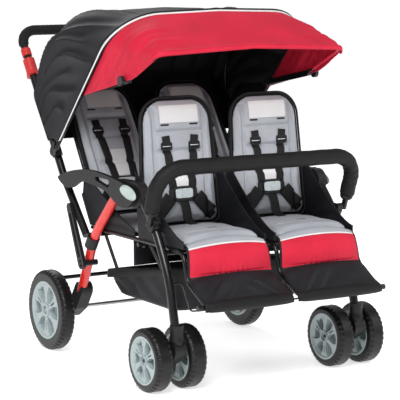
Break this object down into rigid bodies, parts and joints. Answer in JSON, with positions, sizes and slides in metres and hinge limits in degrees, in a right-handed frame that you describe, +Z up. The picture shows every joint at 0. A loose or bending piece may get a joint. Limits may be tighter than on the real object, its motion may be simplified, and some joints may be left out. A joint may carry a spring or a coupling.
{
  "type": "multi seat stroller",
  "caption": "Four seat stroller with two rows of harnessed seats, one folding canopy, a padded belly bar, twin wheel front casters and a foam push handle",
  "frame": {"origin": "on the floor, at the middle of the length and of the width", "axes": "+X is the riders' left, +Y is the back where the handle is, +Z is up"},
  "size_m": [0.802, 1.15, 1.0903],
  "materials": {
    "black_tube": "satin black powder coat",
    "red_leg": "glossy red paint",
    "red_plastic": "satin red moulding",
    "black_plastic": "fine-grained black moulding",
    "cap": "satin pale grey-green",
    "steel": "plain steel",
    "foam": "black foam and padded cloth",
    "black_cloth": "black woven nylon",
    "red_cloth": "bright red woven nylon",
    "grey_cloth": "light grey quilted cloth",
    "tyre": "black foam rubber tread",
    "rim": "pale grey-green moulding"
  },
  "bodies": {
    "chassis": {"armrest_caps": "cap", "armrests": "black_plastic", "basket": "black_cloth", "belly_brackets": "black_plastic", "caster_sockets": "black_plastic", "cross_tubes": "black_tube", "crotch_straps": "black_cloth", "front_back_frames": "black_tube", "front_back_pads": "grey_cloth", "front_back_slings": "black_cloth", "front_buckles": "black_plastic", "front_calf_panels": "red_cloth", "front_legs": "black_tube", "front_seat_pads": "grey_cloth", "front_shoulder_straps": "black_cloth", "front_slings": "black_cloth", "latch_collars": "black_plastic", "rear_axle": "steel", "rear_boots": "black_plastic", "rear_calf_panels": "black_cloth", "rear_legs": "red_leg", "rear_seat_pads": "grey_cloth", "rear_slings": "black_cloth", "seat_frame_left": "black_tube", "seat_frame_right": "black_tube"},
    "handle_frame": {"handle_tube": "black_tube", "handle_grip": "foam", "canopy_clamps": "black_plastic", "rear_bow": "black_tube", "canopy": "black_cloth"},
    "front_bow_body": {"front_bow": "black_tube", "visor": "red_cloth"},
    "visor_bow_body": {"visor_bow": "black_tube"},
    "rear_backs": {"rear_back_frames": "black_tube", "rear_back_slings": "black_cloth", "rear_back_pads": "grey_cloth", "rear_shoulder_straps": "black_cloth", "rear_buckles": "black_plastic"},
    "belly_bar": {"belly_bar_tube": "black_tube", "belly_bar_pad": "foam"},
    "brake": {"brake_bar": "black_tube"},
    "link_left": {"fold_link_left": "black_plastic"},
    "trigger_left": {"fold_trigger_left": "red_plastic"},
    "rear_wheel_left": {"rear_tyre_left": "tyre", "rear_hub_left": "rim"},
    "caster_left": {"caster_fork_left": "black_plastic"},
    "caster_wheel_left_inner": {"caster_tyre_left_inner": "tyre", "caster_hub_left_inner": "rim"},
    "caster_wheel_left_outer": {"caster_tyre_left_outer": "tyre", "caster_hub_left_outer": "rim"},
    "link_right": {"fold_link_right": "black_plastic"},
    "trigger_right": {"fold_trigger_right": "red_plastic"},
    "rear_wheel_right": {"rear_tyre_right": "tyre", "rear_hub_right": "rim"},
    "caster_right": {"caster_fork_right": "black_plastic"},
    "caster_wheel_right_inner": {"caster_tyre_right_inner": "tyre", "caster_hub_right_inner": "rim"},
    "caster_wheel_right_outer": {"caster_tyre_right_outer": "tyre", "caster_hub_right_outer": "rim"}
  },
  "joints": [
    {"name": "fold", "type": "hinge", "parent": "chassis", "child": "handle_frame", "pos_m": [0, 0.249, 0.547], "axis": [1, 0, 0], "range_deg": [0, 20]},
    {"name": "rear_back_fold", "type": "hinge", "parent": "chassis", "child": "rear_backs", "pos_m": [0, 0.09246, 0.3945], "axis": [1, 0, 0], "range_deg": [0, 20]},
    {"name": "canopy_fold", "type": "hinge", "parent": "handle_frame", "child": "front_bow_body", "pos_m": [0, 0.27, 0.628], "axis": [1, 0, 0], "range_deg": [-30, 0], "deforming": ["canopy"]},
    {"name": "visor_tilt", "type": "hinge", "parent": "front_bow_body", "child": "visor_bow_body", "pos_m": [0, -0.17, 0.882], "axis": [1, 0, 0], "range_deg": [-20, 15], "deforming": ["visor"]},
    {"name": "belly_bar_swing", "type": "hinge", "parent": "chassis", "child": "belly_bar", "pos_m": [0, -0.333, 0.482], "axis": [1, 0, 0], "range_deg": [0, 50]},
    {"name": "brake_press", "type": "hinge", "parent": "chassis", "child": "brake", "pos_m": [0, 0.27, 0.127], "axis": [1, 0, 0], "range_deg": [-18, 0]},
    {"name": "link_swing_left", "type": "hinge", "parent": "handle_frame", "child": "link_left", "pos_m": [0.337, 0.179, 0.466], "axis": [1, 0, 0], "range_deg": [-31.6, 0]},
    {"name": "trigger_pull_left", "type": "slide", "parent": "handle_frame", "child": "trigger_left", "axis": [0, 0.5641, 0.8257], "range_m": [0, 0.01], "stiffness_N_per_m": 300},
    {"name": "rear_wheel_spin_left", "type": "hinge", "parent": "chassis", "child": "rear_wheel_left", "pos_m": [0.3595, 0.27, 0.127], "axis": [1, 0, 0], "continuous": true},
    {"name": "caster_swivel_left", "type": "hinge", "parent": "chassis", "child": "caster_left", "pos_m": [0.318, -0.439, 0.16], "axis": [0, 0, 1], "continuous": true},
    {"name": "caster_spin_left_outer", "type": "hinge", "parent": "caster_left", "child": "caster_wheel_left_outer", "pos_m": [0.374, -0.386, 0.093], "axis": [1, 0, 0], "continuous": true},
    {"name": "caster_spin_left_inner", "type": "hinge", "parent": "caster_left", "child": "caster_wheel_left_inner", "pos_m": [0.262, -0.386, 0.093], "axis": [1, 0, 0], "continuous": true},
    {"name": "link_swing_right", "type": "hinge", "parent": "handle_frame", "child": "link_right", "pos_m": [-0.337, 0.179, 0.466], "axis": [1, 0, 0], "range_deg": [-31.6, 0]},
    {"name": "trigger_pull_right", "type": "slide", "parent": "handle_frame", "child": "trigger_right", "axis": [0, 0.5641, 0.8257], "range_m": [0, 0.01], "stiffness_N_per_m": 300},
    {"name": "rear_wheel_spin_right", "type": "hinge", "parent": "chassis", "child": "rear_wheel_right", "pos_m": [-0.3595, 0.27, 0.127], "axis": [1, 0, 0], "continuous": true},
    {"name": "caster_swivel_right", "type": "hinge", "parent": "chassis", "child": "caster_right", "pos_m": [-0.318, -0.439, 0.16], "axis": [0, 0, 1], "continuous": true},
    {"name": "caster_spin_right_outer", "type": "hinge", "parent": "caster_right", "child": "caster_wheel_right_outer", "pos_m": [-0.374, -0.386, 0.093], "axis": [1, 0, 0], "continuous": true},
    {"name": "caster_spin_right_inner", "type": "hinge", "parent": "caster_right", "child": "caster_wheel_right_inner", "pos_m": [-0.262, -0.386, 0.093], "axis": [1, 0, 0], "continuous": true}
  ],
  "couplings": [
    {"joint": "rear_back_fold", "follows": "fold", "ratio": 1},
    {"joint": "link_swing_left", "follows": "fold", "ratio": -1.578},
    {"joint": "link_swing_right", "follows": "fold", "ratio": -1.578}
  ]
}
